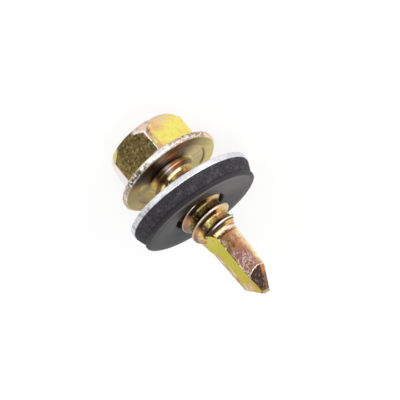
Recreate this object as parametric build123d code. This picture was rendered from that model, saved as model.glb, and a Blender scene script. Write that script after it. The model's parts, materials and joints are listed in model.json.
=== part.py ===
from build123d import *
import os
from math import asin, cos, degrees, radians, sin, tan

os.makedirs("parts", exist_ok=True)

# A self drilling screw with a hexagon flange head and a captive sealing washer.
# It is drawn upright first, with the bearing face of the flange at Z = 0 and the
# point up, and then laid down as it rests: on the outer edge of one flat of the
# hexagon and on the rim of the washer.

# Head
hex_across_flats = 9.5
hex_corner_radius = 0.25
hex_top_inset = 0.1
hex_chamfer_angle = 60
hex_height = 4.2
flange_diameter = 13.0
flange_thickness = 0.85
flange_cone_rise = 0.4
flange_edge_bevel = 0.3
bearing_rim_width = 1.25
recess_depth = 0.15
neck_flare = 0.75

# Thread
thread_diameter = 6.05
thread_depth = 0.675
thread_pitch = 1.814
thread_crest_flat = 0.16
thread_flank_angle = 60
thread_start_angle = 241.5
thread_length = 10.85
thread_taper_length = 4.2
thread_last_depth = 0.1
thread_end_bevel = 0.25
thread_sink = 0.12

# Drill point
drill_step = 0.15
drill_length = 7.9
flute_web = 0.8
flute_web_rise = 0.055
flute_run_out = 0.4
flute_blend_radius = 2.5
lip_offset = 0.33
flute_rake_side = 41.4
flute_ramp_side = 61
flute_ramp_angle = 39
lip_angle = 81.9
facet_slope = 45.5
chisel_lead = 48

# Sealing washer: a dished metal plate with a rubber seal bonded to it
washer_diameter = 16.0
bore_clearance = 0.275
plate_thickness = 0.75
plate_dish = 0.25
plate_edge_bevel = 0.12
seal_band_thickness = 1.55
seal_groove_inset = 0.65
seal_groove_depth = 0.12
seal_lip_inset = 0.425
seal_lip_radius = 0.45
seal_thickness = 2.05
seal_crown_inset = 1.9
seal_crown_rise = 0.12
seal_bore_inset = 0.05

# Place of the washer on the shank, to the middle of its bore
washer_stand_off = 4.54
washer_tilt = 6.8
washer_tilt_side = 214.4

# Turn about its own axis at which the screw lies still, from a flat facing down
rest_roll = 3.6

# Sizes that follow from the ones above
hex_flat_radius = hex_across_flats / 2
hex_corner_circle = hex_flat_radius / cos(radians(30))
flange_radius = flange_diameter / 2
flange_foot_radius = flange_radius - flange_edge_bevel
recess_radius = flange_foot_radius - bearing_rim_width
crest_radius = thread_diameter / 2
root_radius = crest_radius - thread_depth
drill_radius = root_radius + drill_step
washer_radius = washer_diameter / 2
bore_radius = crest_radius + bore_clearance
head_height = flange_thickness + flange_cone_rise + hex_height
tip_height = thread_length + drill_length


def polar(radius, angle):
    """Point of the XY plane at a radius and an angle in degrees."""
    return Vector(radius * cos(radians(angle)), radius * sin(radians(angle)), 0)


def revolved(*points):
    """Solid of revolution about Z from the points of its half section."""
    section = make_face(Polyline(*[(r, 0, z) for r, z in points], close=True))
    return revolve(section, Axis.Z)


def hexagon_head():
    """Hexagon with rounded corners, its top cut back by a cone."""
    outline = RegularPolygon(hex_corner_circle, 6)
    outline = fillet(outline.vertices(), hex_corner_radius)
    prism = Pos(0, 0, -head_height) * extrude(outline, head_height - flange_thickness / 2)
    top_radius = hex_flat_radius - hex_top_inset
    skirt = hex_corner_circle + 1 - top_radius
    cone = revolved(
        (0, -head_height),
        (top_radius, -head_height),
        (top_radius + skirt, -head_height + skirt * tan(radians(hex_chamfer_angle))),
        (top_radius + skirt, 0),
        (0, 0),
    )
    return prism & cone


def flange():
    """Round flange under the hexagon, with a shallow recess in its bearing face."""
    return revolved(
        (0, -flange_thickness - flange_cone_rise),
        (hex_flat_radius, -flange_thickness - flange_cone_rise),
        (flange_radius - flange_edge_bevel / 2, -flange_thickness),
        (flange_radius, -flange_thickness + flange_edge_bevel / 2),
        (flange_radius, -flange_edge_bevel),
        (flange_foot_radius, 0),
        (recess_radius, 0),
        (recess_radius - recess_depth, -recess_depth),
        (root_radius + neck_flare, -recess_depth),
        (root_radius, neck_flare - recess_depth),
        (0, neck_flare - recess_depth),
    )


def shank_core():
    """Core of the thread and the blank of the drill point above it."""
    return revolved(
        (0, -flange_thickness),
        (root_radius, -flange_thickness),
        (root_radius, thread_length - thread_end_bevel),
        (drill_radius, thread_length),
        (drill_radius, tip_height),
        (0, tip_height),
    )


def thread_ridge():
    """Right-hand thread ridge from four helical edges, cut back at its last turns."""
    foot_radius = root_radius - thread_sink
    flank = tan(radians(thread_flank_angle / 2))
    crest_half = thread_crest_flat / 2
    foot_half = crest_half + (crest_radius - foot_radius) * flank
    start = -flange_thickness / 2
    turned = Pos(0, 0, start) * Rot(0, 0, thread_start_angle)

    def helix(radius, shift):
        edge = Edge.make_helix(thread_pitch, thread_length + thread_pitch / 2 - start, radius)
        return turned * Pos(0, 0, shift) * edge

    edges = [
        helix(foot_radius, foot_half),
        helix(crest_radius, crest_half),
        helix(crest_radius, -crest_half),
        helix(foot_radius, -foot_half),
    ]
    pairs = zip(edges, edges[1:] + edges[:1])
    sides = [Face.make_surface_from_curves(first, second) for first, second in pairs]
    ends = [Face(Wire.make_polygon([edge @ t for edge in edges], close=True)) for t in (0, 1)]
    return Solid(Shell(sides + ends)) - thread_run_out(foot_radius - thread_sink)


def thread_run_out(inner_radius):
    """Ring that cuts the thread down over its last turns and ends it."""
    last_radius = root_radius + thread_last_depth
    last_height = thread_length - thread_end_bevel
    slope = (crest_radius - last_radius) / (thread_taper_length - thread_end_bevel)
    outer_radius = 1.2 * crest_radius
    above = thread_length + 2 * thread_pitch
    return revolved(
        (outer_radius, last_height - (outer_radius - last_radius) / slope),
        (last_radius, last_height),
        (inner_radius, thread_length),
        (inner_radius, above),
        (outer_radius, above),
    )


def flute(turn):
    """Cutter for one flute: a rake wall, a trailing wall and a ramp at its upper end."""
    cutting = lip_angle + turn
    rake = cutting - degrees(asin(lip_offset / drill_radius))
    trailing = cutting + flute_rake_side
    reach = 3 * drill_radius

    def section(height):
        web = flute_web / 2 + flute_web_rise * (tip_height - height)
        along = (web - lip_offset * cos(radians(rake + 90 - trailing))) / cos(radians(rake - trailing))
        corner = polar(lip_offset, rake + 90) + polar(along, rake)
        outer = polar(lip_offset, rake + 90) + polar(reach, rake)
        heel = corner + polar(reach, trailing + 90)
        far = polar(reach, trailing) + polar(reach, trailing + 30)
        return Pos(0, 0, height) * make_face(Polyline(corner, outer, far, heel, close=True))

    cutter = loft([section(thread_length - thread_taper_length), section(tip_height + 1)], ruled=True)
    side = cutting + flute_ramp_side
    ramp_point = polar(drill_radius, cutting) + Vector(0, 0, thread_length - flute_run_out)
    normal = polar(cos(radians(flute_ramp_angle)), side) + Vector(0, 0, sin(radians(flute_ramp_angle)))
    cutter = split(cutter, bisect_by=Plane(origin=ramp_point, z_dir=normal), keep=Keep.TOP)
    ramp = cutter.faces().sort_by(Axis(ramp_point, normal))[0]
    bend = ramp.edges().sort_by(Axis((0, 0, 0), polar(1, trailing)))[0]
    return fillet(bend, flute_blend_radius)


def point_roof():
    """Two sloping facets that meet in the chisel edge at the tip."""
    chisel = lip_angle + chisel_lead
    half = 2 * crest_radius
    eaves = -half * tan(radians(facet_slope))
    outline = Polyline(
        (0, 0),
        (half, eaves),
        (half, eaves - tip_height),
        (-half, eaves - tip_height),
        (-half, eaves),
        close=True,
    )
    across = Plane(origin=(0, 0, tip_height), x_dir=polar(1, chisel - 90), z_dir=-polar(1, chisel))
    return extrude(across * make_face(outline), amount=half, both=True)


def shank():
    """Threaded shank with its two-fluted drill point."""
    body = shank_core() + thread_ridge()
    for turn in (0, 180):
        body = body - flute(turn)
    return body & point_roof()


def dish(radius):
    """Height of the dished washer at a radius, falling toward its bore."""
    return -plate_dish * (washer_radius - radius) / (washer_radius - bore_radius)


def washer_plate():
    """Dished round plate with softened rims, its head side at Z = 0 on the outer rim."""
    inner = bore_radius + plate_edge_bevel
    outer = washer_radius - plate_edge_bevel
    return revolved(
        (bore_radius, dish(bore_radius) + plate_edge_bevel),
        (inner, dish(inner)),
        (outer, dish(outer)),
        (washer_radius, plate_edge_bevel),
        (washer_radius, plate_thickness - plate_edge_bevel),
        (outer, plate_thickness + dish(outer)),
        (inner, plate_thickness + dish(inner)),
        (bore_radius, plate_thickness + dish(bore_radius) - plate_edge_bevel),
    )


def rubber_seal():
    """Rubber ring under the plate: a leaning rough band, a groove, and a crowned lip."""
    bore = bore_radius - seal_bore_inset
    rim = washer_radius - plate_edge_bevel
    groove = washer_radius - seal_groove_inset
    lip = washer_radius - seal_lip_inset
    crown = washer_radius - seal_crown_inset
    band_end = plate_thickness + seal_band_thickness
    face_height = plate_thickness + seal_thickness
    bore_height = face_height + dish(bore)
    corner = Vector(lip - seal_lip_radius, 0, face_height - seal_lip_radius)
    wall = Polyline(
        (bore, 0, bore_height),
        (bore, 0, plate_thickness + dish(bore)),
        (rim, 0, plate_thickness + dish(rim)),
        (washer_radius, 0, plate_thickness + plate_edge_bevel),
        (groove + seal_groove_depth, 0, band_end - seal_groove_depth),
        (groove, 0, band_end),
        (lip, 0, band_end + seal_groove_depth),
        corner + Vector(seal_lip_radius, 0, 0),
    )
    middle = corner + Vector(cos(radians(45)), 0, sin(radians(45))) * seal_lip_radius
    shoulder = corner + Vector(0, 0, seal_lip_radius)
    edge = ThreePointArc(wall @ 1, middle, shoulder)
    face = ThreePointArc(shoulder, (crown, 0, face_height + seal_crown_rise), wall @ 0)
    return revolve(make_face(wall + edge + face), Axis.Z)


def washer_place():
    """Location of the washer, its bore centred on the screw's axis and leaning off it."""
    lean = Location((0, 0, 0), tuple(polar(1, washer_tilt_side + 90)), washer_tilt)
    middle = (plate_thickness + seal_thickness + dish(bore_radius)) / 2
    return Pos(0, 0, washer_stand_off) * lean * Pos(0, 0, -middle)


def laid(lean):
    """Location that lays an upright shape along X with its point raised by the lean."""
    along = (cos(radians(lean)), 0, sin(radians(lean)))
    return Plane(origin=(0, 0, 0), x_dir=(0, 1, 0), z_dir=along).location * Rot(0, 0, -rest_roll)


def lowest(shape, lean):
    """Height of the lowest place of a shape laid down at a lean."""
    return (laid(lean) * shape).bounding_box().min.Z


def rest_lean(head, washer):
    """Lean at which the head and the washer both touch the ground, found by halving."""
    low, high = 0, 60
    for _ in range(20):
        middle = (low + high) / 2
        if lowest(head, middle) > lowest(washer, middle):
            low = middle
        else:
            high = middle
    return (low + high) / 2


head = hexagon_head() + flange()
plate = washer_place() * washer_plate()
seal = washer_place() * rubber_seal()
lean = rest_lean(head, plate + seal)

pieces = {
    "screw": laid(lean) * (head + shank()),
    "washer_plate": laid(lean) * plate,
    "rubber_seal": laid(lean) * seal,
}
box = pieces["screw"].bounding_box()
for piece in pieces.values():
    box = box.add(piece.bounding_box())
ground = Pos(-box.center().X, -box.center().Y, -box.min.Z)
for name, piece in pieces.items():
    export_step(ground * piece, f"parts/{name}.step")
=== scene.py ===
"""Looks of a yellow zinc self drilling screw with its rubber-backed sealing washer."""
import json
from math import asin, cos, degrees, pi, radians, sin, tan

import bpy
import numpy as np
from mathutils import Matrix, Vector, noise


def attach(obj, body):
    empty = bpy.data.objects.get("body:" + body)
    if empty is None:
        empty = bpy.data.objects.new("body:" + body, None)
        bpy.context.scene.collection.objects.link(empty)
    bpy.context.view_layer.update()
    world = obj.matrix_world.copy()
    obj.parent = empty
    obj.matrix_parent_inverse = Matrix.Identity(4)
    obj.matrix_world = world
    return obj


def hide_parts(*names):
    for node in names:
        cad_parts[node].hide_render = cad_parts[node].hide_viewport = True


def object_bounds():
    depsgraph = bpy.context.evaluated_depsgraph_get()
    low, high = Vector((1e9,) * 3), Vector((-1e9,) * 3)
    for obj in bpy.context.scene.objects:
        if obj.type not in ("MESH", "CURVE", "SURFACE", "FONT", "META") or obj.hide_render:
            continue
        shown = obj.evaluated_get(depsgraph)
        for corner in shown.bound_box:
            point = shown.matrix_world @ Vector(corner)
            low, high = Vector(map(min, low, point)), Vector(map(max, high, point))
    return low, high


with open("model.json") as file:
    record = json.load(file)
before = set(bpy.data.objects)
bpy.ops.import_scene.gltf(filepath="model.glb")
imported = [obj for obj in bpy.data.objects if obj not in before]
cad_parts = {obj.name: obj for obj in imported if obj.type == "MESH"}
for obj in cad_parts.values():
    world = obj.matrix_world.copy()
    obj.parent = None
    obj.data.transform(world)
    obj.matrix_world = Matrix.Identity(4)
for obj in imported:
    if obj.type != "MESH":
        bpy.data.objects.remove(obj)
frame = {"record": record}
cad_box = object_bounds()

# Sizes in millimetres, the screw upright with the flange's bearing face at height 0
FLAT_RADIUS = 4.75
CORNER_RADIUS = 0.25
TOP_INSET = 0.1
CHAMFER_SLOPE = tan(radians(60))
HEX_HEIGHT = 4.2
FLANGE_RADIUS = 6.5
FLANGE_THICKNESS = 0.85
CONE_RISE = 0.4
EDGE_BEVEL = 0.3
RIM_WIDTH = 1.25
RIM_WAVE = 0.0035
WAVE_START = 6.1
WAVE_GROWTH = 0.3
RECESS_DEPTH = 0.15
NECK_FLARE = 0.75
CREST_RADIUS = 3.025
ROOT_RADIUS = 2.35
PITCH = 1.814
CREST_HALF = 0.08
FLANK = radians(30)
START_ANGLE = 241.5
THREAD_LENGTH = 10.85
TAPER_LENGTH = 4.2
LAST_DEPTH = 0.1
END_BEVEL = 0.25
SHOULDER_HEIGHT = 10.27
DRILL_RADIUS = 2.5
TIP_HEIGHT = 18.75
WEB = 0.4
WEB_RISE = 0.055
RUN_OUT = 0.4
LIP_OFFSET = 0.33
LIP_ANGLE = 81.9
RAKE_SIDE = 41.4
RAMP_SIDE = 61
RAMP_ANGLE = 39
CHISEL_LEAD = 48
CHISEL_SOFTNESS = 0.05
FACET_SLOPE = radians(45.5)
HEAD_HEIGHT = FLANGE_THICKNESS + CONE_RISE + HEX_HEIGHT
WASHER_RADIUS = 8.0
PLATE_RADIUS = WASHER_RADIUS - 0.015
BORE_RADIUS = 3.3
SEAL_BORE = BORE_RADIUS - 0.05
PLATE_THICKNESS = 0.75
PLATE_DISH = 0.25
SEAL_THICKNESS = 2.05
SEAL_START = WASHER_RADIUS - 0.1
BAND_RADIUS = WASHER_RADIUS - 0.03

# Corners of the seal's section: radius, and height above the head side of the plate's rim
BAND_FOOT = (7.47, 2.16)
GROOVE = (7.36, 2.3)
LIP_START = (7.56, 2.42)
LIP_EDGE = (7.575, 2.62)
FACE_START = (7.1, 2.84)
CROWN_TOP = (6.1, 2.92)
CROWN_END = (4.7, 2.79)
CROWN_RISE = 0.12
REST_ROLL = 3.6
ARC_STEPS = 5
MILLIMETRE = 0.001

# How much lighter the thread's shaded roots are painted, and how much darker its neck is painted as shade
# in the gap under the flange
ROOT_GAIN = 1.15
NECK_SHADE = 0.55

mounts = {mount["name"]: mount for mount in frame["record"]["mounts"]}


def placing(mount, height):
    """Matrix from upright millimetres to the row frame, from a mount at a height on the axis."""
    along = Vector(mount["axis"]).normalized()
    side = (Vector((0, 1, 0)) - along * along.y).normalized()
    across = along.cross(side)
    turn = Matrix((side, across, along)).transposed().to_4x4()
    scale = Matrix.Scale(MILLIMETRE, 4)
    return Matrix.Translation(mount["pos_m"]) @ turn @ scale @ Matrix.Translation((0, 0, -height))


SCREW = placing(mounts["thread"], TIP_HEIGHT) @ Matrix.Rotation(radians(-REST_ROLL), 4, "Z")
WASHER = placing(mounts["sealing_face"], PLATE_THICKNESS + SEAL_THICKNESS + CROWN_RISE)


# Camera and light

# Distance and sensor in millimetres, the photo's width and the place in it in pixels
FOCAL_PIXELS = 2565
DISTANCE = 300
PHOTO_WIDTH = 400
SENSOR = 36
VIEW_ROLL = 50.8
VIEW_RISE = 21.8
VIEW_SIDE = 68.6
SEEN_AT = (171.2, 174.5)


def camera():
    """Camera that sees the bearing face's centre where the photograph shows it."""
    turn = SCREW.to_3x3().normalized()
    axis = turn @ Vector((0, 0, 1))
    facing = turn @ Vector((cos(radians(VIEW_SIDE)), sin(radians(VIEW_SIDE)), 0))
    beside = turn @ Vector((sin(radians(VIEW_SIDE)), -cos(radians(VIEW_SIDE)), 0))
    cos_roll, sin_roll = cos(radians(VIEW_ROLL)), sin(radians(VIEW_ROLL))
    cos_rise, sin_rise = cos(radians(VIEW_RISE)), sin(radians(VIEW_RISE))
    right = axis * cos_rise * cos_roll + beside * sin_roll - facing * sin_rise * cos_roll
    down = axis * cos_rise * sin_roll - beside * cos_roll - facing * sin_rise * sin_roll
    ahead = -axis * sin_rise - facing * cos_rise
    place = SCREW @ Vector((0, 0, 0)) - ahead * DISTANCE * MILLIMETRE
    middle = PHOTO_WIDTH / 2
    aim = ahead * FOCAL_PIXELS + right * (middle - SEEN_AT[0]) + down * (middle - SEEN_AT[1])
    aim.normalize()
    level = (right - aim * right.dot(aim)).normalized()
    rotation = Matrix((level, level.cross(aim), -aim)).transposed()
    made = bpy.data.objects.new("camera", bpy.data.cameras.new("camera"))
    made.data.sensor_width = SENSOR
    made.data.lens = FOCAL_PIXELS / PHOTO_WIDTH * SENSOR
    made.data.clip_start = 0.01
    made.matrix_world = Matrix.Translation(place) @ rotation.to_4x4()
    bpy.context.scene.collection.objects.link(made)
    bpy.context.scene.camera = made
    return right, down, ahead


RIGHT, DOWN, AHEAD = camera()


def lamp(name, towards, distance, size, power):
    """Square soft lamp aimed at the middle of the object."""
    centre = (cad_box[0] + cad_box[1]) / 2
    data = bpy.data.lights.new(name, "AREA")
    data.size = size
    data.energy = power
    made = bpy.data.objects.new(name, data)
    made.location = centre + towards.normalized() * distance
    made.rotation_mode = "QUATERNION"
    made.rotation_quaternion = (-towards).to_track_quat("-Z", "Y")
    bpy.context.scene.collection.objects.link(made)


lamp("lamp_key", RIGHT * 0.8 - DOWN * 0.5 - AHEAD, 0.25, 0.12, 0.3)
lamp("lamp_fill", -RIGHT - DOWN * 0.2 - AHEAD * 0.8, 0.3, 0.2, 0.1)
lamp("lamp_front", RIGHT * 0.1 + DOWN * 0.25 - AHEAD, 0.28, 0.05, 0.14)


# Shader maths

class Shade:
    """A shader tree, and the one method that makes its nodes."""

    def __init__(self, name):
        self.material = bpy.data.materials.new(name)
        self.material.use_nodes = True
        self.tree = self.material.node_tree
        self.tree.nodes.clear()

    def node(self, kind, settings=None, out=0, **inputs):
        """Makes a node, sets it up, gives its sockets values or links, and returns any output."""
        made = self.tree.nodes.new(kind)
        for key, value in (settings or {}).items():
            setattr(made, key, value)
        for key, value in inputs.items():
            name = key.replace("_", " ").strip()
            socket = made.inputs[int(name)] if name.isdigit() else made.inputs[name]
            if isinstance(value, Val):
                self.tree.links.new(value.socket, socket)
            else:
                socket.default_value = value
        return Val(self, made.outputs[out]) if len(made.outputs) else None


class Val:
    """A number that a node gives, with Python's operators as Math nodes."""

    def __init__(self, shade, socket):
        self.shade = shade
        self.socket = socket

    def math(self, operation, first, second):
        """Result of a Math node on two numbers."""
        settings = {"operation": operation}
        return self.shade.node("ShaderNodeMath", settings, 0, **{"0": first, "1": second})

    def __add__(self, other):
        return self.math("ADD", self, other)

    __radd__ = __add__

    def __sub__(self, other):
        return self.math("SUBTRACT", self, other)

    def __rsub__(self, other):
        return self.math("SUBTRACT", other, self)

    def __mul__(self, other):
        return self.math("MULTIPLY", self, other)

    __rmul__ = __mul__

    def least(self, other):
        """The smaller of two numbers."""
        return self.math("MINIMUM", self, other)

    def step(self, low, high):
        """0 below low and 1 above high, smooth between, or the other way round."""
        falling = low > high
        settings = {"interpolation_type": "SMOOTHSTEP"}
        sockets = {"Value": self, "From_Min": min(low, high), "From_Max": max(low, high)}
        value = self.shade.node("ShaderNodeMapRange", settings, 0, **sockets)
        return 1 - value if falling else value


# Depth of the finest bumps, in metres
BUMP_DEPTH = 0.00005


def paint(red, green, blue):
    """Colour for a socket from the levels that a screen shows."""
    levels = [level / 255 for level in (red, green, blue)]
    linear = [((v + 0.055) / 1.055) ** 2.4 if v > 0.04 else v / 12.92 for v in levels]
    return (*linear, 1)


def over(shade, below, above, mask):
    """Colour above laid over colour below by a mask."""
    sockets = {"0": mask, "6": below, "7": above}
    return shade.node("ShaderNodeMix", {"data_type": "RGBA"}, 2, **sockets)


def dyed(shade, below, by, mask):
    """Colour below multiplied by another where a mask is 1."""
    settings = {"data_type": "RGBA", "blend_type": "MULTIPLY"}
    return shade.node("ShaderNodeMix", settings, 2, **{"0": mask, "6": below, "7": by})


def noise_of(shade, place, scale, detail, rough=0.55):
    """Smooth noise from 0 to 1 in the place's own millimetres."""
    sockets = {"Vector": place, "Scale": scale, "Detail": detail, "Roughness": rough}
    return shade.node("ShaderNodeTexNoise", {"normalize": True}, 0, **sockets)


def attribute(shade, name, out=2):
    """A value stored on the mesh: output 2 is a number, 1 is a vector and 0 is a colour."""
    return shade.node("ShaderNodeAttribute", {"attribute_name": name}, out)


def finish_of(shade, colour, metallic, roughness, height, bump, **others):
    """Surface shader with a fine bump, put on the material's output."""
    normal = shade.node("ShaderNodeBump", {}, 0, Strength=bump, Distance=BUMP_DEPTH, Height=height)
    sockets = {"Base_Color": colour, "Metallic": metallic, "Roughness": roughness, "Normal": normal}
    surface = shade.node("ShaderNodeBsdfPrincipled", {}, 0, **sockets, **others)
    shade.node("ShaderNodeOutputMaterial", {}, 0, Surface=surface)
    return shade.material


# Meshes

def rounded(corners, radii, inner):
    """Points along half sections whose corners are eased, the same number at every angle."""
    parts = [corners[:, :1]]
    last = corners.shape[1] - 1
    leave = corners[:, 0]
    for index in range(1, last + 1):
        here = corners[:, index]
        if index == last:
            enter, curve = here, here[:, None]
        else:
            back = corners[:, index - 1] - here
            on = corners[:, index + 1] - here
            long_back = np.linalg.norm(back, axis=1, keepdims=True)
            long_on = np.linalg.norm(on, axis=1, keepdims=True)
            back, on = back / long_back, on / long_on
            half = np.arccos(np.clip((back * on).sum(1, keepdims=True), -1, 1)) / 2
            reach = np.minimum(radii[index] / np.tan(half), 0.45 * np.minimum(long_back, long_on))
            enter, out = here + back * reach, here + on * reach
            t = np.linspace(0, 1, ARC_STEPS)[None, :, None]
            ends = (1 - t) ** 2 * enter[:, None] + t * t * out[:, None]
            curve = ends + 2 * t * (1 - t) * here[:, None]
        run = np.linspace(0, 1, inner[index - 1] + 2)[None, 1:-1, None]
        parts += [leave[:, None] * (1 - run) + enter[:, None] * run, curve]
        leave = curve[:, -1]
    return np.concatenate(parts, 1)


def skin(name, points, stored, seam=None, loop=False, normals=None):
    """Mesh over columns and rows of points, closed round the columns and welded where they meet."""
    columns, rows = points.shape[:2]
    flat = points.reshape(-1, 3)
    _, first, same = np.unique(np.round(flat, 5), axis=0, return_index=True, return_inverse=True)
    same = same.reshape(columns, rows)
    upper = np.arange(1, rows + (1 if loop else 0)) % rows
    lower = np.arange(len(upper))
    shift = np.arange(rows) if seam is None else seam
    faces = []
    for column in range(columns):
        beside = (column + 1) % columns
        there = shift if beside == 0 else np.arange(rows)
        quad = (
            same[column, lower],
            same[beside, there[lower]],
            same[beside, there[upper]],
            same[column, upper],
        )
        for face in np.stack(quad, 1).tolist():
            face = [v for n, v in enumerate(face) if v != face[n - 1]]
            if len(set(face)) > 2:
                faces.append(face)
    mesh = bpy.data.meshes.new(name)
    mesh.from_pydata(flat[first].tolist(), [], faces)
    for key, values in stored.items():
        kind, field = ("FLOAT_COLOR", "color") if key == "tint" else ("FLOAT", "value")
        made = mesh.attributes.new(key, kind, "POINT")
        listed = values.reshape(-1, *values.shape[2:])[first]
        made.data.foreach_set(field, listed.astype(np.float32).ravel())
    mesh.shade_smooth()
    if normals is not None:
        mesh.normals_split_custom_set_from_vertices(normals.reshape(-1, 3)[first].tolist())
    return mesh


def placed(name, mesh, matrix, body, nodes, material):
    """Object of a finished mesh, in the row frame, standing for its CAD nodes."""
    place = mesh.attributes.new("place", "FLOAT_VECTOR", "POINT")
    spots = np.zeros(len(mesh.vertices) * 3, np.float32)
    mesh.vertices.foreach_get("co", spots)
    place.data.foreach_set("vector", spots)
    mesh.transform(matrix)
    made = bpy.data.objects.new(name, mesh)
    bpy.context.scene.collection.objects.link(made)
    mesh.materials.append(material)
    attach(made, body)
    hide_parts(*nodes)


def round_of(section, angles):
    """Points in space of a section's radius and height at each angle."""
    radius, height = section[..., 0], section[..., 1]
    return np.stack([radius * np.cos(angles)[:, None], radius * np.sin(angles)[:, None], height], -1)


def turned(points):
    """Degrees round the axis at points, from 0 to 360."""
    return np.degrees(np.arctan2(points[..., 1], points[..., 0])) % 360


def out_from_axis(points):
    """Distance of points from the axis."""
    return np.hypot(points[..., 0], points[..., 1])


def waves(points, size, seed):
    """Even noise from -1 to 1 at points, with features of about a size in millimetres."""
    shift = Vector((seed * 7.3, seed * 3.1, seed * 5.7))
    flat = points.reshape(-1, 3) / size
    return np.array([noise.noise(Vector(p) + shift) for p in flat.tolist()]).reshape(points.shape[:-1])


def head_mesh():
    """Hexagon, flange and its hollowed underside, as one skin.

    A row of the outline holds a radius, a height and how far the corner is eased."""
    steps = np.array([0, 0.35, 0.7, 1.05, 1.35, 1.8, 2.6, 4, 6, 8.5, 11.5, 15, 18.5, 22.5, 26.5])
    sector = np.concatenate([steps, [30], 60 - steps[:0:-1]])
    degrees_round = (np.arange(0, 360, 60)[:, None] + sector).ravel()
    away = np.minimum(degrees_round % 60, 60 - degrees_round % 60)
    from_corner = np.radians(away)
    centre = (FLAT_RADIUS - CORNER_RADIUS) / cos(pi / 6)
    inside = CORNER_RADIUS ** 2 - (centre * np.sin(from_corner)) ** 2
    bent = centre * np.cos(from_corner) + np.sqrt(np.maximum(inside, 0))
    edge_end = asin(CORNER_RADIUS / 2 / (centre + CORNER_RADIUS))
    hexagon = np.where(from_corner < edge_end, bent, FLAT_RADIUS / np.cos(pi / 6 - from_corner))
    top_radius = FLAT_RADIUS - TOP_INSET
    foot = FLANGE_RADIUS - EDGE_BEVEL
    recess = foot - RIM_WIDTH
    rim_start = FLANGE_RADIUS - EDGE_BEVEL / 2
    cone_top = -FLANGE_THICKNESS - CONE_RISE
    cone = cone_top + (hexagon - FLAT_RADIUS) * CONE_RISE / (rim_start - FLAT_RADIUS)
    chamfer = -HEAD_HEIGHT + (hexagon - top_radius) * CHAMFER_SLOPE
    end = NECK_FLARE - RECESS_DEPTH
    outline = (
        (0, -HEAD_HEIGHT, 0),
        (top_radius, -HEAD_HEIGHT, 0.12),
        (hexagon, chamfer, 0.14),
        (hexagon, cone, 0.15),
        (rim_start, -FLANGE_THICKNESS, 0.2),
        (FLANGE_RADIUS, EDGE_BEVEL / 2 - FLANGE_THICKNESS, 0.15),
        (FLANGE_RADIUS, -EDGE_BEVEL, 0.15),
        (foot, 0, 0.12),
        (recess, 0, 0.1),
        (recess - RECESS_DEPTH, -RECESS_DEPTH, 0.1),
        (ROOT_RADIUS + NECK_FLARE, -RECESS_DEPTH, 0.5),
        (ROOT_RADIUS, end, 0),
        (0, end, 0),
    )
    corners = [np.stack([radius + 0 * hexagon, height + 0 * hexagon], -1) for radius, height, _ in outline]
    corners = np.stack(corners, 1)
    radii = [eased for _, _, eased in outline]
    section = rounded(corners, radii, (6, 3, 14, 4, 1, 2, 1, 12, 1, 18, 4, 1))
    angles = np.radians(degrees_round)
    points = round_of(section, angles)
    rim = np.clip((section[..., 0] - WAVE_START) / WAVE_GROWTH, 0, 1)
    points[..., :2] *= (1 - RIM_WAVE * rim * (1 + waves(points, 0.9, 1)))[..., None]
    return skin("head", points, head_marks(points, chamfer))


def head_marks(points, chamfer):
    """What the head's finish needs at each point: its tint, mottling, bare flecks, specks and painted
    glow.
    """
    height, angle = points[..., 2], turned(points)
    outer = ease(out_from_axis(points), 6.2, 6.35)
    rim = outer * ease(height, -1.3, -1.1) * ease(height, -0.05, -0.15)
    below = ease(height - chamfer[:, None], -0.08, 0.02)
    # The flat at 90 degrees, painted dark as shade, is mottled more
    dark = around(angle, 90, 30, 1) * ease(-height, 1.1, 1.3) * below
    speckled = 0.1 + 0.8 * around(angle, 98, 15, 8) * ease(height, -0.62, -0.5)
    speckled += 0.35 * around(angle, 28, 30, 14) + 0.3 * around(angle, 134, 24, 12)
    speckled *= ease(height, -0.9, -0.8) * rim
    # Painted shade: the underside's dark front is kept out of the painted glow
    shaded_wedge = around(angle, 76, 40, 16) * (1 - outer)
    return {
        "tint": with_alpha(head_tint(points, chamfer)),
        "mottle": 0.05 + 0.1 * rim + 0.5 * dark,
        "flecks": 0.3 * rim,
        "speckled": speckled,
        # Painted glow that lights the shaded underside and the neck below it
        "painted_glow": 0.3 * ease(height, -0.2, -0.1) * (1 - shaded_wedge) + 0.15 * ease(height, 0.0, 0.2),
    }


def soft_most(first, second, width):
    """Larger of two distances, with the corner between them eased."""
    near = np.maximum(width - np.abs(first - second), 0) / width
    return np.maximum(first, second) + near * near * width / 4


def soft_least(first, second, width):
    """Smaller of two distances, with the corner between them filled."""
    return -soft_most(-first, -second, width)


def along_of(x, y, angle):
    """Distance of a point along a direction across the axis."""
    return x * cos(radians(angle)) + y * sin(radians(angle))


def thread_phase(angle, height):
    """Turns between a height and the nearest crest, above it positive."""
    phase = (height + FLANGE_THICKNESS / 2) / PITCH - (np.degrees(angle) - START_ANGLE) / 360
    return phase - np.round(phase)


def threaded(radius, angle, height):
    """Distance outside the threaded shank and the drill's blank, before the flutes."""
    last = ROOT_RADIUS + LAST_DEPTH
    end = THREAD_LENGTH - END_BEVEL
    taper = (CREST_RADIUS - last) / (TAPER_LENGTH - END_BEVEL)
    crest = np.minimum(CREST_RADIUS, last + (end - height) * taper)
    crest = np.minimum(crest, last - (height - end) * 1.4)
    off = np.abs(thread_phase(angle, height)) * PITCH
    flank = (off - CREST_HALF) * cos(FLANK) + (radius - CREST_RADIUS) * sin(FLANK)
    ridge = soft_most(radius - crest, flank, 0.09)
    blank = ROOT_RADIUS + (DRILL_RADIUS - ROOT_RADIUS) * np.clip((height - end) / END_BEVEL, 0, 1)
    return soft_least(ridge, radius - blank, 0.22)


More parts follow.
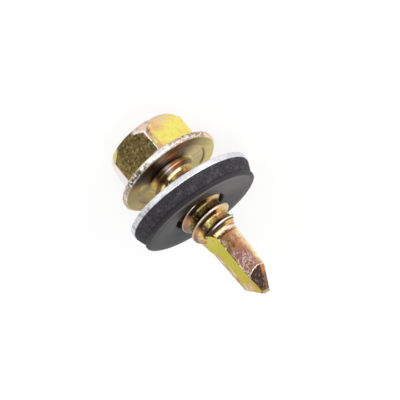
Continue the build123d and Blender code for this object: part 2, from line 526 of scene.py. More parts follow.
def fluted(x, y, height, turn):
    """Depth inside one flute: between its rake wall, its trailing wall and its ramp."""
    cutting = LIP_ANGLE + turn
    rake = cutting - degrees(asin(LIP_OFFSET / DRILL_RADIUS))
    trailing = cutting + RAKE_SIDE
    web = WEB + WEB_RISE * (TIP_HEIGHT - height)
    side = cutting + RAMP_SIDE
    out = along_of(x, y, side) - DRILL_RADIUS * cos(radians(RAMP_SIDE))
    up = height - THREAD_LENGTH + RUN_OUT
    ramp_wall = out * cos(radians(RAMP_ANGLE)) + up * sin(radians(RAMP_ANGLE))
    trailing_wall = along_of(x, y, trailing) - web
    rake_wall = along_of(x, y, rake + 90) - LIP_OFFSET
    return soft_least(soft_least(trailing_wall, ramp_wall, 0.7), rake_wall, 0.1)


def roofed(x, y, height):
    """Distance outside the two facets that meet in the chisel edge."""
    across = along_of(x, y, LIP_ANGLE + CHISEL_LEAD - 90)
    slope = np.sqrt(across ** 2 + CHISEL_SOFTNESS ** 2) * tan(FACET_SLOPE)
    return (height - TIP_HEIGHT + slope) * cos(FACET_SLOPE)


def shank_parts(points):
    """Distances outside the blank and the roof, and depth in the flutes, at points."""
    x, y, height = points[..., 0], points[..., 1], points[..., 2]
    blank = threaded(np.hypot(x, y), np.arctan2(y, x), height)
    groove = np.maximum(fluted(x, y, height, 0), fluted(x, y, height, 180))
    return blank, groove, roofed(x, y, height)


def shank_distance(points):
    """Distance outside the whole shank, its edges eased."""
    blank, groove, roof = shank_parts(points)
    return soft_most(soft_most(blank, groove, 0.07), roof, 0.06)


SEARCH_RADIUS = 3.3
SEARCH_STEPS = 26
SLOPE_STEP = 0.004


def shank_mesh():
    """Thread, flutes and drill point as one skin, its rows following the thread's helix."""
    near_lip = np.arange(-3, 4.1, 0.4)
    angles = np.arange(0, 360, 1.25)
    for lip in (LIP_ANGLE, LIP_ANGLE + 180):
        angles = angles[np.abs(angles - lip - 0.5) > 3.9]
        angles = np.concatenate([angles, lip + near_lip])
    angles = np.radians(np.sort(angles))
    offsets = np.array([0, 0.04, 0.08, 0.12, 0.18, 0.27, 0.36, 0.44, 0.5, 0.57, 0.68, 0.82])
    turn = np.concatenate([-offsets[:0:-1], offsets])
    low, high = -RECESS_DEPTH - 0.1, THREAD_LENGTH
    first = -FLANGE_THICKNESS / 2
    rows = np.concatenate([first + PITCH * k + turn for k in range(-1, 8)])
    lift = PITCH * (np.degrees(angles) - START_ANGLE) / 360
    heights = np.clip(rows[None] + lift[:, None], low, high)
    body = np.arange(THREAD_LENGTH + 0.1, TIP_HEIGHT - 2.6, 0.13)
    point = np.arange(body[-1] + 0.09, TIP_HEIGHT - 0.3, 0.08)
    ends = TIP_HEIGHT - np.array([0.28, 0.23, 0.18, 0.14, 0.11, 0.09, 0.07, 0.058, 0.053])
    plain = np.concatenate([body, point, ends])
    heights = np.concatenate([heights, np.tile(plain, (len(angles), 1))], 1)
    count = len(rows)
    next_turn = np.minimum(np.arange(count) + len(turn), count - 1)
    seam = np.concatenate([next_turn, count + np.arange(len(plain))])
    inside, outside = np.zeros_like(heights), np.full_like(heights, SEARCH_RADIUS)
    ways = np.stack([np.cos(angles), np.sin(angles)], -1)[:, None]

    def at(radius):
        """Points at a radius on every ray out from the axis."""
        return np.concatenate([ways * radius[..., None], heights[..., None]], -1)

    for _ in range(SEARCH_STEPS):
        middle = (inside + outside) / 2
        beyond = shank_distance(at(middle)) > 0
        outside = np.where(beyond, middle, outside)
        inside = np.where(beyond, inside, middle)
    points = at(inside)
    steps = SLOPE_STEP * np.eye(3)
    slopes = [shank_distance(points + step) - shank_distance(points - step) for step in steps]
    normals = np.stack(slopes, -1)
    normals /= np.linalg.norm(normals, axis=-1, keepdims=True) + 1e-9
    stored = shank_marks(points)
    ends = np.zeros((len(angles), 1, 3))
    start, tip = ends + (0, 0, low), ends + (0, 0, TIP_HEIGHT - CHISEL_SOFTNESS - 0.001)
    points = np.concatenate([start, points, tip], 1)
    normals = np.concatenate([ends - (0, 0, 1), normals, ends + (0, 0, 1)], 1)
    stored = {key: np.concatenate([v[:, :1], v, v[:, -1:]], 1) for key, v in stored.items()}
    seam = np.concatenate([[0], seam + 1, [len(seam) + 1]])
    return skin("shank", points, stored, seam=seam, normals=normals)


def shank_marks(points):
    """What the shank's finish needs at each point, by where it is flute, facet, thread or land."""
    blank, groove, roof = shank_parts(points)
    ridge = (out_from_axis(points) - ROOT_RADIUS) / (CREST_RADIUS - ROOT_RADIUS)
    forms = {
        "flute": np.clip((groove - np.maximum(blank, roof)) / 0.04, 0, 1),
        "facet": np.clip((roof - np.maximum(blank, groove)) / 0.04, 0, 1),
        "lead": thread_phase(np.arctan2(points[..., 1], points[..., 0]), points[..., 2]),
        "ridge": np.clip(ridge, 0, 1),
    }
    height = points[..., 2]
    land = (1 - forms["flute"]) * (1 - forms["facet"]) * ease(height, 10.5, 11)
    patchy = ease(waves(points, 1.4, 16) + 0.3 * (height - 13.4), -0.1, 0.25)
    shoulder = bump_at(height, SHOULDER_HEIGHT, 0.15) * (1 - forms["flute"])
    return {
        "tint": with_alpha(shank_tint(points, forms)),
        "netted": land * patchy * around(turned(points), 66, 26, 16) * 0.7,
        "mottle": 0.08 + 0.12 * land + 0.1 * forms["facet"],
        "flecks": 0.25 * land + 0.2 * forms["facet"],
        # Painted glow lighting the neck in the gap under the flange, and a painted highlight on the
        # drill's shoulder
        "painted_glow": 0.45 * ease(height, 2.6, 2.0) + 0.4 * shoulder,
    }


def dish(radius):
    """Height of the dished washer at a radius, falling toward its bore."""
    return -PLATE_DISH * (WASHER_RADIUS - radius) / (WASHER_RADIUS - BORE_RADIUS)


def ring(outline, inner, columns, uneven, size, seed):
    """Skin of a closed section turned round the axis, with its surface a little uneven."""
    corners = np.array([(r, z) for r, z, _ in outline])[None]
    radii = [eased for _, _, eased in outline]
    section = rounded(corners, radii, inner)[:, :-1]
    angles = np.linspace(0, 2 * pi, columns, endpoint=False)
    points = round_of(np.tile(section, (columns, 1, 1)), angles)
    amount = np.interp(section[0, :, 0], *uneven)[None]
    points[..., :2] *= (1 - amount * (1 + waves(points, size, seed)) / 8)[..., None]
    return points


def plate_mesh():
    """Dished metal plate with softly rounded rims."""
    lift = PLATE_THICKNESS
    middle = dish((BORE_RADIUS + WASHER_RADIUS) / 2)
    outline = (
        ((BORE_RADIUS + WASHER_RADIUS) / 2, middle, 0),
        (PLATE_RADIUS, 0, 0.16),
        (PLATE_RADIUS, lift, 0.14),
        (BORE_RADIUS, lift + dish(BORE_RADIUS), 0.12),
        (BORE_RADIUS, dish(BORE_RADIUS), 0.16),
        ((BORE_RADIUS + WASHER_RADIUS) / 2, middle, 0),
    )
    points = ring(outline, (8, 3, 16, 3, 8), 240, ((7.7, 8), (0, 0.02)), 1.2, 2)
    angle = turned(points)
    # Grey scuffs, laid heavier round 125 degrees as painted shade
    scuffs_and_shade = 0.15 + 0.7 * around(angle, 125, 40, 50)
    return skin("plate", points, {"scuffs_and_shade": scuffs_and_shade}, loop=True)


def seal_mesh():
    """Rubber ring: a rough leaning band, a groove, a rounded lip and a crowned face."""
    lift = PLATE_THICKNESS
    middle = lift + 0.9
    outline = (
        (SEAL_BORE, middle, 0),
        (SEAL_BORE, lift + dish(SEAL_BORE), 0.05),
        (SEAL_START, lift + dish(SEAL_START), 0.05),
        (BAND_RADIUS, lift + 0.1, 0.1),
        (*BAND_FOOT, 0.2),
        (*GROOVE, 0.08),
        (*LIP_START, 0.1),
        (*LIP_EDGE, 0.3),
        (*FACE_START, 0.45),
        (*CROWN_TOP, 2.2),
        (*CROWN_END, 3.0),
        (SEAL_BORE, lift + SEAL_THICKNESS + dish(SEAL_BORE), 0.2),
        (SEAL_BORE, middle, 0),
    )
    inner = (2, 8, 1, 10, 2, 2, 2, 3, 3, 4, 6, 4)
    uneven = ((7.1, 7.3, 8), (0, 0.035, 0.05))
    points = ring(outline, inner, 300, uneven, 0.35, 3)
    return skin("seal", points, seal_marks(points), loop=True)


def seal_marks(points):
    """Where the rubber is rough band, and the painted sheen and shade on its smooth face."""
    radius, angle = out_from_axis(points), turned(points)
    # Painted sheen and shade: lighter round one side and along the crown, darker near the thread, at the
    # outer lip and into the bore
    sheen = 0.38 + 0.36 * around(angle, 4, 36, 50) - 0.2 * around(angle, 160, 60, 50)
    sheen += 0.55 * bump_at(radius, 6.88, 0.2) * around(angle, 45, 42, 34)
    sheen -= 0.42 * around(angle, 68, 22, 20) * ease(-radius, -6.6, -6.1)
    sheen += 0.06 * waves(points, 1.1, 17)
    sheen += 0.12 * ease(-radius, -4.8, -4.2) * around(angle, 120, 30, 20)
    sheen *= (1 - 0.8 * ease(radius, 7.05, 7.25)) * (1 - 0.5 * ease(-radius, -3.6, -3.3))
    return {"band": ease(points[..., 2], 2.36, 2.2) * ease(radius, 7.2, 7.32), "sheen": sheen}


# Colours laid on the surfaces by place, painted light and shade among them, with angles in degrees
# round the axis and heights from the flange's bearing face. The camera looks from VIEW_SIDE.

def tone(red, green, blue):
    """Linear colour of the levels that a screen shows, for painting points."""
    return np.array(paint(red, green, blue)[:3])


def ease(value, low, high):
    """0 at low and 1 at high, smooth between."""
    t = np.clip((value - low) / (high - low), 0, 1)
    return t * t * (3 - 2 * t)


def around(angle, centre, half, soft):
    """1 within half degrees of a centre angle, fading over soft degrees."""
    away = np.abs((angle - centre + 180) % 360 - 180)
    return 1 - ease(away, half - soft / 2, half + soft / 2)


def lay(colour, other, mask):
    """Colour laid over points by a mask."""
    return colour + (other - colour) * np.clip(mask, 0, 1)[..., None]


# Angle of each flat of the hexagon and its colour as a screen shows it, painted light or dark as light
# falls on it
HEX_SHADES = (
    (90, (98, 84, 52)), (30, (240, 228, 118)), (150, (242, 240, 242)),
    (210, (196, 170, 84)), (270, (140, 116, 58)), (330, (206, 196, 120)),
)
# Tones of the chromate, of its wear and of its painted light and shade, as a screen shows them
WHITE = (245, 240, 230)
CREAM = (230, 210, 180)
BEIGE = (210, 195, 170)
GREY = (170, 165, 150)
LEMON = (250, 240, 180)
STRAW = (225, 215, 145)
YELLOW = (210, 200, 75)
OLIVE = (185, 170, 105)
MOSS = (145, 130, 85)
GOLD = (205, 165, 95)
AMBER = (230, 185, 115)
ROSE = (215, 155, 125)
COPPER = (185, 130, 90)
BRONZE = (155, 120, 80)
TAUPE = (140, 115, 100)
BROWN = (110, 80, 50)
UMBER = (70, 50, 35)
SOOT = (35, 25, 15)

# Fields of tone round the axis, each with the angle of its middle or of its edges. They are painted
# reflections, highlights and shade by angle round the axis, over the chromate's own tones.
RIM_FIELDS = (
    (-20, CREAM), (40, CREAM), (70, WHITE), (95, GREY), (130, BEIGE), (170, OLIVE), (290, OLIVE),
)
UNDER_FIELDS = (
    (-30, STRAW), (0, OLIVE), (25, UMBER), (50, UMBER), (65, SOOT), (110, SOOT), (140, MOSS),
    (175, OLIVE), (225, BROWN), (260, OLIVE),
)
NECK_FIELDS = (
    (-10, MOSS), (25, BROWN), (40, COPPER), (55, ROSE), (65, WHITE), (80, BROWN), (100, UMBER),
    (120, GOLD), (150, MOSS), (200, BROWN), (260, GOLD),
)
FRONT_FIELDS = (
    (-60, GOLD), (-20, CREAM), (20, AMBER), (30, AMBER), (40, UMBER), (95, UMBER), (110, ROSE),
    (145, TAUPE), (210, BROWN), (250, GOLD),
)
ROOT_FIELDS = (
    (-10, OLIVE), (10, BRONZE), (30, BRONZE), (50, BROWN), (75, OLIVE), (85, UMBER), (100, UMBER),
    (120, GOLD), (140, TAUPE), (200, BROWN), (230, GOLD), (270, BROWN),
)
CREST_HIGHLIGHTS = ((0, WHITE), (60, WHITE), (100, BEIGE), (160, CREAM))
LAND_FIELDS = (
    (-30, OLIVE), (-10, LEMON), (20, LEMON), (35, ROSE), (45, COPPER), (75, BRONZE), (85, TAUPE),
    (200, GOLD), (225, COPPER), (250, GOLD),
)
FLUTE_FIELDS = (
    (20, OLIVE), (60, BRONZE), (85, YELLOW), (190, YELLOW), (240, BRONZE), (265, YELLOW), (335, YELLOW),
)


def with_alpha(colour):
    """Colours of points with a full alpha beside them."""
    return np.concatenate([colour, np.ones(colour.shape[:2] + (1,))], -1)


def bump_at(value, centre, width):
    """1 at a centre, falling to 0 on both sides in a bell of a width."""
    return np.exp(-((value - centre) / width) ** 2)


def banded(angle, table):
    """Linear colour at each angle, blended between fields of tone round the axis."""
    stops = [stop for stop, _ in table]
    colours = np.array([tone(*colour) for _, colour in table])
    return np.stack([np.interp(angle, stops, colours[:, k], period=360) for k in range(3)], -1)


def hex_tint(colour, points, arc):
    """Chromate colours of the six flats and their chamfer: each flat painted light or dark as light falls
    on it, painted highlights along the front edges, and wear on the edges round the back.
    """
    angle = turned(points)
    height = points[..., 2]
    big, fine = waves(points, 1.6, 4), waves(points, 0.45, 5)
    over_arc = arc[:, None] - height
    chamfer = ease(over_arc, -0.04, 0.04)
    # Painted light and shade: each flat takes its own tone by how light and reflections fall on it
    for centre, shade in HEX_SHADES:
        colour = lay(colour, tone(*shade), around(angle, centre, 30, 1) * ease(-height, 5.44, 5.4))
    # Painted shade over the dark flat, mottled, and lighter towards its edge at 104 to 118 degrees
    dark = around(angle, 90, 30, 1)
    colour = lay(colour, tone(78, 64, 36), dark * ease(big, 0.05, 0.5) * 0.6)
    colour = lay(colour, tone(136, 118, 76), dark * ease(angle, 104, 118) * 0.8)
    colour = lay(colour, tone(150, 138, 84), dark * ease(fine, 0.18, 0.4) * 0.3)
    patch = around(angle, 47, 14, 14) * ease(-height - 0.5 * big, 2.6, 4.2) * ease(fine, -0.6, 0.3)
    colour = lay(colour, tone(228, 176, 132), patch * 0.95)
    pale = around(angle, 28, 16, 20) * ease(-height - 0.6 * big, 3.9, 4.9)
    colour = lay(colour, tone(232, 204, 160), pale * 0.9)
    colour = lay(colour, tone(236, 196, 118), around(angle, 52, 6, 8) * ease(height, -2.6, -1.6) * 0.7)
    strip = around(angle, 56.6, 3.0, 1.4)
    colour = lay(colour, tone(206, 164, 134), strip * ease(fine, -0.6, 0.0) * 0.9)
    low = ease(-height, 3.0, 3.4) * ease(fine, 0.05, 0.25)
    colour = lay(colour, tone(124, 98, 84), strip * low * 0.8)
    # Painted reflection, orange, along the rounded edge at 122 degrees
    colour = lay(colour, tone(226, 172, 108), around(angle, 122.4, 2.8, 1.4) * ease(fine, -0.5, -0.1))
    # Painted highlight on the chamfer at the front
    near = chamfer * around(angle, 47, 27, 5)
    colour = lay(colour, tone(236, 214, 196), near)
    colour = lay(colour, tone(186, 146, 126), near * ease(fine, 0.1, 0.3) * 0.7)
    colour = lay(colour, tone(216, 206, 132), chamfer * around(angle, 117, 8, 6))
    # Painted highlight along the chamfer's edge at the front, and pale wear on it round the back
    edge = bump_at(over_arc, 0.03, 0.11)
    colour = lay(colour, tone(255, 254, 252), edge * around(angle, 67, 8, 7))
    colour = lay(colour, tone(214, 186, 160), edge * around(angle, 30, 27, 6) * 0.5)
    # Painted highlight down the near upright edge
    width = 0.25 + 0.8 * bump_at(height, -3.7, 0.6)
    upright = 1 - ease(np.abs(angle - 61.2 + 0.4 * fine), width, width + 0.5)
    upright = upright * ease(over_arc, 0.1, 0.0) * ease(-height, 1.2, 1.3)
    colour = lay(colour, tone(253, 250, 247), upright)
    # Wear on the corners round the back
    others = (angle > 124).astype(float) + (angle < 3)
    corner = np.minimum(angle % 60, 60 - angle % 60)
    wear_and_gleam = others * ease(-corner, -2.4, -1.0) * ease(-height, 1.25, 1.35)
    colour = lay(colour, tone(238, 226, 196), wear_and_gleam)
    return lay(colour, tone(226, 214, 176), others * edge * 0.7)


def rim_tint(points):
    """Flange's outer band: painted highlight white at the front, speckled grey beside it, beige round the
    rest.
    """
    angle = turned(points)
    height = points[..., 2]
    big, fine, small = waves(points, 1.6, 4), waves(points, 0.42, 5), waves(points, 0.26, 12)
    # Tones by angle round the rim, partly the chromate's own and partly painted reflection
    rim = banded(angle + 5 * big, RIM_FIELDS)
    rosy = around(angle, 28, 32, 14)
    rim = lay(rim, tone(180, 132, 110), rosy * ease(fine, -0.05, 0.15) * ease(-height, 0.15, 0.35) * 0.9)
    rim = lay(rim, tone(250, 242, 236), rosy * ease(-small, 0.0, 0.2) * ease(height, -0.5, -0.3))
    # Painted highlight on the rim's front
    lower = -0.14 - 0.34 * ease(angle, 74, 90) + 0.2 * fine
    white = around(angle, 70, 20, 8) * ease(height, -0.8, -0.7) * ease(lower - height, -0.05, 0.05)
    rim = lay(rim, tone(255, 254, 252), white)
    specks = around(angle, 97, 16, 8) * ease(height, -0.6, -0.5)
    rim = lay(rim, tone(100, 92, 84), specks * ease(fine, -0.04, 0.1))
    rim = lay(rim, tone(232, 228, 220), specks * ease(-small, 0.14, 0.26))
    beige = around(angle, 136, 26, 10)
    rim = lay(rim, tone(240, 234, 222), beige * ease(-small, 0.1, 0.26) * 0.9)
    rim = lay(rim, tone(152, 136, 116), beige * ease(fine, 0.12, 0.3) * 0.7)
    top = ease(-height, 0.66, 0.76)
    rim = lay(rim, tone(218, 206, 122), top * around(angle, 97, 24, 14))
    # Painted shade on the rim's lower edge at two places round the front
    brim = ease(height, -0.2, -0.1)
    brim_shade = around(angle, 78, 7, 6) + 0.6 * around(angle, 16, 14, 10)
    return lay(rim, tone(120, 100, 78), brim * brim_shade)


def under_tint(points):
    """Hollowed underside of the flange: brushed streaks over painted reflections, dark as painted shade at
    the front and olive round the sides.
    """
    radius = out_from_axis(points)
    angle = turned(points)
    big, fine = waves(points, 1.6, 4), waves(points, 0.5, 5)
    # Painted reflections by angle round the underside
    face = banded(angle + 5 * big, UNDER_FIELDS)
    brushed = waves(np.stack([radius, angle / 90, 0 * radius], -1), 0.13, 8)
    shade = 0.16 + 0.3 * around(angle, 80, 62, 24)
    face = face * (1 + shade * brushed)[..., None]
    front = around(angle, 70, 50, 16)
    face = lay(face, tone(120, 106, 76), ease(radius, 5.9, 6.1) * around(angle, 92, 30, 20) * 0.8)
    olive = ease(-radius, -4.95, -4.8) * around(angle, 150, 40, 20)
    face = face * np.array((0.95, 0.93, 0.5)) ** olive[..., None]
    # Painted highlight, orange, near the neck at 52 degrees
    face = lay(face, tone(190, 132, 76), bump_at(radius, 4.3, 0.4) * around(angle, 52, 9, 12))
    # Painted shade at the front: browner, with a dark band inside the rim and dark by the neck
    face = face * (1 - np.array((0, 0.12, 0.45)) * around(angle, 66, 52, 20)[..., None])
    shaded_band = around(angle, 76, 36, 14) * ease(radius, 4.9, 5.2) * ease(-radius, -6.2, -6.0)
    face = face * (1 - 0.8 * shaded_band)[..., None]
    face = lay(face, tone(48, 34, 26), ease(-radius, -4.0, -3.6) * front)
    glint = bump_at(radius, 4.1, 0.5) * around(angle, 130, 7, 9)
    face = lay(face, tone(214, 196, 70), glint)
    # Painted shade along the recess's edge on one side, lighter within it
    arcs = around(angle, -42, 22, 12)
    face = lay(face, tone(98, 92, 66), bump_at(radius, 4.78, 0.16) * arcs)
    face = lay(face, tone(182, 172, 118), ease(-radius, -4.7, -4.4) * arcs * 0.8)
    rosy = around(angle, 172, 14, 14) * ease(radius, 3.9, 4.2) * ease(-radius, -5.05, -4.9)
    face = lay(face, tone(138, 112, 84), rosy * 0.9)
    pit = bump_at(points[..., 0], 3.2, 0.1) * bump_at(points[..., 1], -1.32, 0.1)
    face = lay(face, tone(96, 76, 48), pit)
    # Painted reflections and highlights on the neck's fillet
    fillet = banded(angle + 3 * fine, NECK_FIELDS)
    return lay(face, fillet, ease(points[..., 2], -0.06, 0.06))


def head_tint(points, arc):
    """Chromate colours of the whole head, with its painted light and shade."""
    height = points[..., 2]
    radius = out_from_axis(points)
    cone = -FLANGE_THICKNESS - CONE_RISE
    big = waves(points, 1.6, 4)
    colour = np.zeros(points.shape) + tone(200, 180, 92)
    colour = lay(colour, tone(206, 160, 112), ease(big, 0.0, 0.5))
    colour = lay(colour, hex_tint(colour, points, arc), ease(radius, 4.4, 4.5))
    colour = lay(colour, rim_tint(points), ease(height, cone - 0.08, cone + 0.05))
    inner = ease(height, -0.1, -0.03) + ease(height, -0.22, -0.12) * ease(-radius, -6.0, -5.5)
    return lay(colour, under_tint(points), inner)


def thread_tint(angle, height, lead, ridge):
    """Painted reflections, highlights and shade on the thread's chromate: dark on the near flanks, gold
    and rose at the sides.
    """
    spot = np.stack([angle / 30, height, 0 * angle], -1)
    streak, lines = waves(spot, 0.45, 9), waves(spot * (0.5, 1, 1), 0.1, 13)
    fine = waves(spot, 0.22, 7)
    # Painted reflections in the roots, painted lighter where they lie in shade
    root = banded(angle + 7 * streak, ROOT_FIELDS) * ROOT_GAIN
    root = lay(root, tone(252, 226, 140), ease(lines + 0.5 * fine, 0.28, 0.5) * 0.5)
    # Roots painted darker at the front below a height of 7 and lighter above 8, as painted shade and light
    root = root * (1 - 0.3 * around(angle, 62, 26, 14) * ease(-height, -7.6, -7.0))[..., None]
    root = root * (1 + 0.7 * ease(height, 7.7, 8.3))[..., None]
    root = lay(root, tone(60, 44, 20), ease(-lines - 0.4 * fine, 0.16, 0.4) * 0.4)
    # Painted reflections on the near flanks; by the neck they take its tones, painted darker as shade
    # under the flange
    front = banded(angle + 5 * streak, FRONT_FIELDS)
    low = ease(height, 2.9, 2.0)
    front = front + (banded(angle, NECK_FIELDS) * NECK_SHADE - front) * low[..., None]
    # Painted highlight in the roots by the neck
    bright = around(angle, 60, 24, 8) + 0.7 * around(angle, 118, 12, 10)
    root = lay(root, tone(252, 232, 180), low * bright * around(lead * 360, 112, 32, 14))
    colour = lay(root, front, ease(lead, 0.03, 0.06) * ease(-lead, -0.27, -0.22))
    # Painted shade on the flanks that face the head
    back = ease(-lead, 0.06, 0.12) * ease(lead, -0.3, -0.24)
    colour = lay(colour, tone(70, 52, 42), back * (1 - 0.6 * around(angle, 10, 26, 20)))
    # Painted highlights on the crests
    crest = ease(-np.abs(lead), -0.07, -0.045) * ease(ridge, 0.05, 0.3)
    pale = banded(angle, CREST_HIGHLIGHTS)
    pale = pale + (banded(angle, NECK_FIELDS) - pale) * low[..., None]
    colour = lay(colour, pale, crest * 0.9)
    # Painted shade beside the last crest, and a painted highlight on it
    last = ease(height, 8.9, 9.2) * ease(-height, -10.1, -9.9)
    colour = lay(colour, tone(74, 60, 44), last * ease(-np.abs(lead + 0.02), -0.16, -0.1))
    white = last * around(angle, 20, 52, 20) * ease(-np.abs(lead + 0.03), -0.055, -0.03)
    colour = lay(colour, tone(252, 250, 248), white)
    # Painted highlight round the drill's shoulder, at several angles
    gleam = bump_at(height, SHOULDER_HEIGHT, 0.12)
    wear_and_gleam = around(angle, 56, 13, 8) + around(angle, 34, 8, 7) + 0.4 * around(angle, 74, 6, 6)
    wear_and_gleam = wear_and_gleam + 0.7 * around(angle, 12, 14, 8)
    # Painted shade in the groove before the shoulder
    colour = lay(colour, tone(96, 70, 44), ease(height, 9.95, 10.05) * ease(-height, -10.2, -10.1) * 0.4)
    return lay(colour, tone(255, 252, 246), gleam * np.minimum(wear_and_gleam, 1))


def shank_tint(points, stored):
    """Chromate colours of the thread and the drill point, with their painted reflections, highlights and
    shade.
    """
    angle = turned(points)
    height = points[..., 2]
    big, fine = waves(points, 1.3, 6), waves(points, 0.3, 7)
    colour = thread_tint(angle, height, stored["lead"], stored["ridge"])
    # Painted reflections by angle on the land, cream on its lit side
    land = banded(angle + 4 * big, LAND_FIELDS)
    veins = waves(points * (1, 1, 0.45), 0.3, 14)
    land = lay(land, tone(116, 74, 56), ease(veins, 0.12, 0.32) * around(angle, 70, 16, 10) * 0.6)
    land = lay(land, tone(255, 250, 226), ease(veins, 0.05, 0.3) * around(angle, 16, 16, 8) * 0.7)
    land = lay(land, tone(236, 208, 180), ease(-veins, 0.2, 0.4) * 0.3)
    # Painted light on the step up to the land, which lies in shade
    step = ease(-height, -10.86, -10.7)
    land = land * (1 + 0.9 * step)[..., None]
    lower = ease(height + 0.8 * big, 12.9, 14.2) * around(angle, 62, 30, 20)
    land = lay(land, tone(160, 108, 104), lower * 0.8)
    lip = around(angle, 81.5, 2.6, 1.6)
    land = lay(land, tone(92, 64, 56), lip * ease(fine, -0.2, 0.05))
    land = lay(land, tone(244, 236, 230), lip * ease(-fine, 0.26, 0.34) * 0.8)
    colour = lay(colour, land, ease(height, 10.48, 10.56))
    # Painted reflections by angle in the flutes
    groove = banded(angle + 2 * fine, FLUTE_FIELDS)
    golden = ease(height + big, 14.0, 17.4) * around(angle, 150, 50, 20)
    groove = lay(groove, tone(214, 178, 62), golden * 0.7)
    radius = out_from_axis(points)
    heel = ease(radius, 1.55, 2.2) * (around(angle, 188, 40, 20) + around(angle, 8, 40, 20))
    heel = heel * ease(height, 10.4, 11.2)
    edge = ease(radius, 2.34, 2.46)
    drawn = waves(points * (1, 1, 0.3), 0.22, 15)
    groove = lay(groove, tone(222, 190, 132), heel * 0.8)
    groove = lay(groove, tone(246, 232, 218), heel * ease(drawn, 0.08, 0.3) * 0.9)
    groove = lay(groove, tone(196, 148, 116), heel * ease(-drawn, 0.1, 0.34) * 0.8)
    groove = lay(groove, tone(240, 222, 190), ease(drawn, 0.3, 0.5) * ease(radius, 1.0, 1.8) * 0.5)
    groove = lay(groove, tone(110, 84, 64), edge * ease(height, 11.2, 11.8) * 0.8)
    mouth = ease(-height, -9.9, -9.3) * around(angle, 130, 50, 20)
    groove = lay(groove, tone(214, 166, 100), mouth * 0.8)
    groove = lay(groove, tone(120, 80, 50), mouth * ease(fine, 0.15, 0.3))
    corner = around(angle, 192, 14, 10) * ease(height, 15.6, 16.4)
    groove = lay(groove, tone(232, 206, 190), corner * ease(fine, -0.2, 0.1) * 0.8)
    colour = lay(colour, groove, stored["flute"])
    facet = np.zeros(points.shape) + tone(76, 58, 52)
    facet = lay(facet, tone(140, 118, 104), ease(fine, 0.26, 0.4) * 0.7)
    # Painted highlight on the facet near the tip
    facet = lay(facet, tone(204, 140, 94), around(angle, 26, 9, 8) * ease(-height, -17.3, -16.9))
    facet = lay(facet, tone(140, 106, 88), around(angle, 16, 18, 12) * ease(height, 16.9, 17.4))
    facet = lay(facet, tone(196, 160, 90), around(angle, 230, 50, 16) * 0.8)
    colour = lay(colour, facet, stored["facet"])
    # Painted highlight along the facet's edges
    facet_edge_highlight = stored["facet"] * (1 - stored["facet"]) * 4 * (1 - stored["flute"])
    colour = lay(colour, tone(250, 246, 242), facet_edge_highlight * ease(-height, -17.9, -17.7))
    colour = lay(colour, tone(120, 92, 64), ease(height, 18.2, 18.3))
    return lay(colour, tone(212, 188, 148), ease(height, 18.4, 18.5))


def chromate_finish():
    """Yellow chromate over zinc: shifting tints, fine grains, bright metal at flecks of wear, and a
    painted glow that lights shaded places.
    """
    shade = Shade("yellow_chromate")
    place = attribute(shade, "place", 1)
    tint = attribute(shade, "tint", 0)
    mottle = attribute(shade, "mottle")
    flecks = attribute(shade, "flecks")
    netted = attribute(shade, "netted")
    painted_glow = attribute(shade, "painted_glow")
    speckled = attribute(shade, "speckled")
    cloud = noise_of(shade, place, 1.3, 2.0)
    grain = noise_of(shade, place, 4.2, 3.0, 0.6)
    speck = noise_of(shade, place, 2.9, 2.0, 0.6)
    fleck = noise_of(shade, place, 6.5, 2.0, 0.5)
    chip = noise_of(shade, place, 3.0, 1.0)
    cells = {"feature": "DISTANCE_TO_EDGE"}
    bend = shade.node("ShaderNodeTexNoise", {"normalize": False}, 1, Vector=place, Scale=2.4, Detail=2.0)
    shifted = shade.node("ShaderNodeVectorMath", {"operation": "MULTIPLY_ADD"}, 0,
                         **{"0": bend, "1": (0.3, 0.3, 0.3), "2": place})
    line = shade.node("ShaderNodeTexVoronoi", cells, 0, Vector=shifted, Scale=1.45)
    rosy = dyed(shade, tint, (1.0, 0.82, 0.86, 1), cloud.step(0.5, 0.75))
    green = dyed(shade, rosy, (0.96, 1.0, 0.88, 1), cloud.step(0.5, 0.25))
    dusky = over(shade, green, (0.03, 0.02, 0.008, 1), grain.step(0.5, 0.34) * mottle)
    patchy = over(shade, dusky, (0.035, 0.025, 0.012, 1), speck.step(0.47, 0.36) * mottle * 1.2)
    lighter = over(shade, patchy, (0.46, 0.38, 0.15, 1), speck.step(0.54, 0.7) * mottle * 0.65)
    lighter = over(shade, lighter, (0.09, 0.075, 0.06, 1), chip.step(0.49, 0.56) * speckled)
    lighter = over(shade, lighter, (0.86, 0.84, 0.8, 1), chip.step(0.45, 0.38) * speckled)
    bare = over(shade, lighter, paint(238, 236, 232), fleck.step(0.6, 0.7) * flecks)
    webbed = over(shade, bare, paint(236, 220, 210), line.step(0.075, 0.02) * netted)
    # Painted glow: the colour itself is emitted, lightening shaded places and adding painted highlights
    lit = over(shade, (0, 0, 0, 1), webbed, painted_glow)
    rough = 0.3 + grain * 0.22
    glow = {"Emission_Color": lit, "Emission_Strength": 1.0}
    return finish_of(shade, webbed, 1.0, rough, grain, 0.35, **glow)


def plate_finish():
    """Bright aluminium with grey scuffs on its edge, laid heavier on one side as painted shade."""
    shade = Shade("bright_plate")
    place = attribute(shade, "place", 1)
    scuffs_and_shade = attribute(shade, "scuffs_and_shade")
    scuff = noise_of(shade, place, 1.1, 4.0, 0.6)
    grain = noise_of(shade, place, 5.0, 3.0, 0.6)
    colour = over(shade, paint(222, 223, 226), paint(140, 140, 144), scuff.step(0.44, 0.62) * scuffs_and_shade)
    colour = over(shade, colour, paint(244, 244, 246), grain.step(0.5, 0.68) * 0.7)
    colour = over(shade, colour, paint(118, 116, 118), grain.step(0.4, 0.28) * scuffs_and_shade)
    return finish_of(shade, colour, 1.0, 0.34 + grain * 0.2, grain, 0.3)


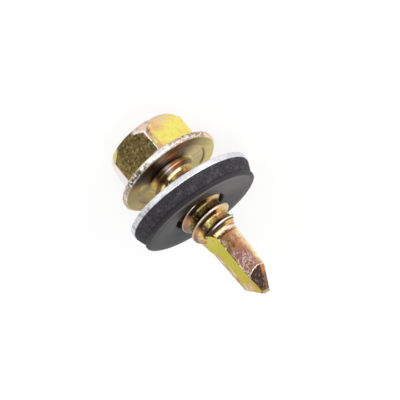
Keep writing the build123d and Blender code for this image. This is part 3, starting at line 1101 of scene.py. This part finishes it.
def rubber_finish():
    """Black rubber: granular on the cut band, smooth on the face, its sheen painted into the colour."""
    shade = Shade("black_rubber")
    place = attribute(shade, "place", 1)
    rough_band = attribute(shade, "band")
    sheen = attribute(shade, "sheen")
    cloud = noise_of(shade, place, 1.5, 4.0, 0.7)
    grain = noise_of(shade, place, 4.5, 3.0, 0.65)
    dust = noise_of(shade, place, 3.2, 1.0)
    # Painted sheen lightens the black face
    colour = over(shade, paint(14, 13, 14), paint(94, 89, 92), sheen)
    colour = over(shade, colour, paint(40, 37, 40), rough_band)
    colour = over(shade, colour, paint(70, 67, 71), cloud.step(0.46, 0.7) * rough_band)
    colour = over(shade, colour, paint(92, 89, 93), grain.step(0.52, 0.72) * (rough_band * 0.5 + 0.08))
    colour = over(shade, colour, paint(24, 22, 25), grain.step(0.46, 0.3) * (rough_band * 0.6 + 0.06))
    colour = over(shade, colour, paint(190, 190, 194), dust.step(0.79, 0.83) * rough_band)
    soft = {"Specular_IOR_Level": 0.3}
    return finish_of(shade, colour, 0.0, 0.5 + rough_band * 0.3, grain, 0.2 + rough_band * 0.8, **soft)


chromate = chromate_finish()
metal = plate_finish()
rubber = rubber_finish()

placed("head", head_mesh(), SCREW, "screw", ["screw"], chromate)
placed("shank", shank_mesh(), SCREW, "screw", ["screw"], chromate)
placed("plate", plate_mesh(), WASHER, "sealing_washer", ["washer_plate"], metal)
placed("seal", seal_mesh(), WASHER, "sealing_washer", ["rubber_seal"], rubber)

# Floor and world

# Width and gap in metres, and strengths
FLOOR_WIDTH = 0.8
FLOOR_GAP = 0.00002
FLOOR_GLOW = 0.8
WORLD_STRENGTH = 0.8


def stage():
    """White floor that keeps a soft shadow, and mostly glows where it is seen or mirrored."""
    mesh = bpy.data.meshes.new("floor")
    half = FLOOR_WIDTH / 2
    corners = [(-half, -half, 0), (half, -half, 0), (half, half, 0), (-half, half, 0)]
    mesh.from_pydata(corners, [], [(0, 1, 2, 3)])
    floor = bpy.data.objects.new("floor", mesh)
    floor.location.z = min(cad_box[0].z, 0) - FLOOR_GAP
    bpy.context.scene.collection.objects.link(floor)
    shade = Shade("floor_white")
    lit = shade.node("ShaderNodeBsdfDiffuse", {}, 0, Color=paint(250, 250, 250))
    glow = shade.node("ShaderNodeEmission", {}, 0, Color=(1, 1, 1, 1), Strength=1.0)
    seen = shade.node("ShaderNodeLightPath", {}, 0)
    mirrored = shade.node("ShaderNodeLightPath", {}, 3)
    through = shade.node("ShaderNodeLightPath", {}, 6)
    share = (seen + mirrored + through).least(1.0) * FLOOR_GLOW
    both = shade.node("ShaderNodeMixShader", {}, 0, **{"0": share, "1": lit, "2": glow})
    shade.node("ShaderNodeOutputMaterial", {}, 0, Surface=both)
    mesh.materials.append(shade.material)


def white_world():
    """Plain white light from all round."""
    world = bpy.data.worlds.new("world")
    bpy.context.scene.world = world
    world.use_nodes = True
    sky = world.node_tree.nodes["Background"]
    sky.inputs["Color"].default_value = (1, 1, 1, 1)
    sky.inputs["Strength"].default_value = WORLD_STRENGTH


stage()
white_world()
bpy.context.scene.view_settings.view_transform = "Standard"
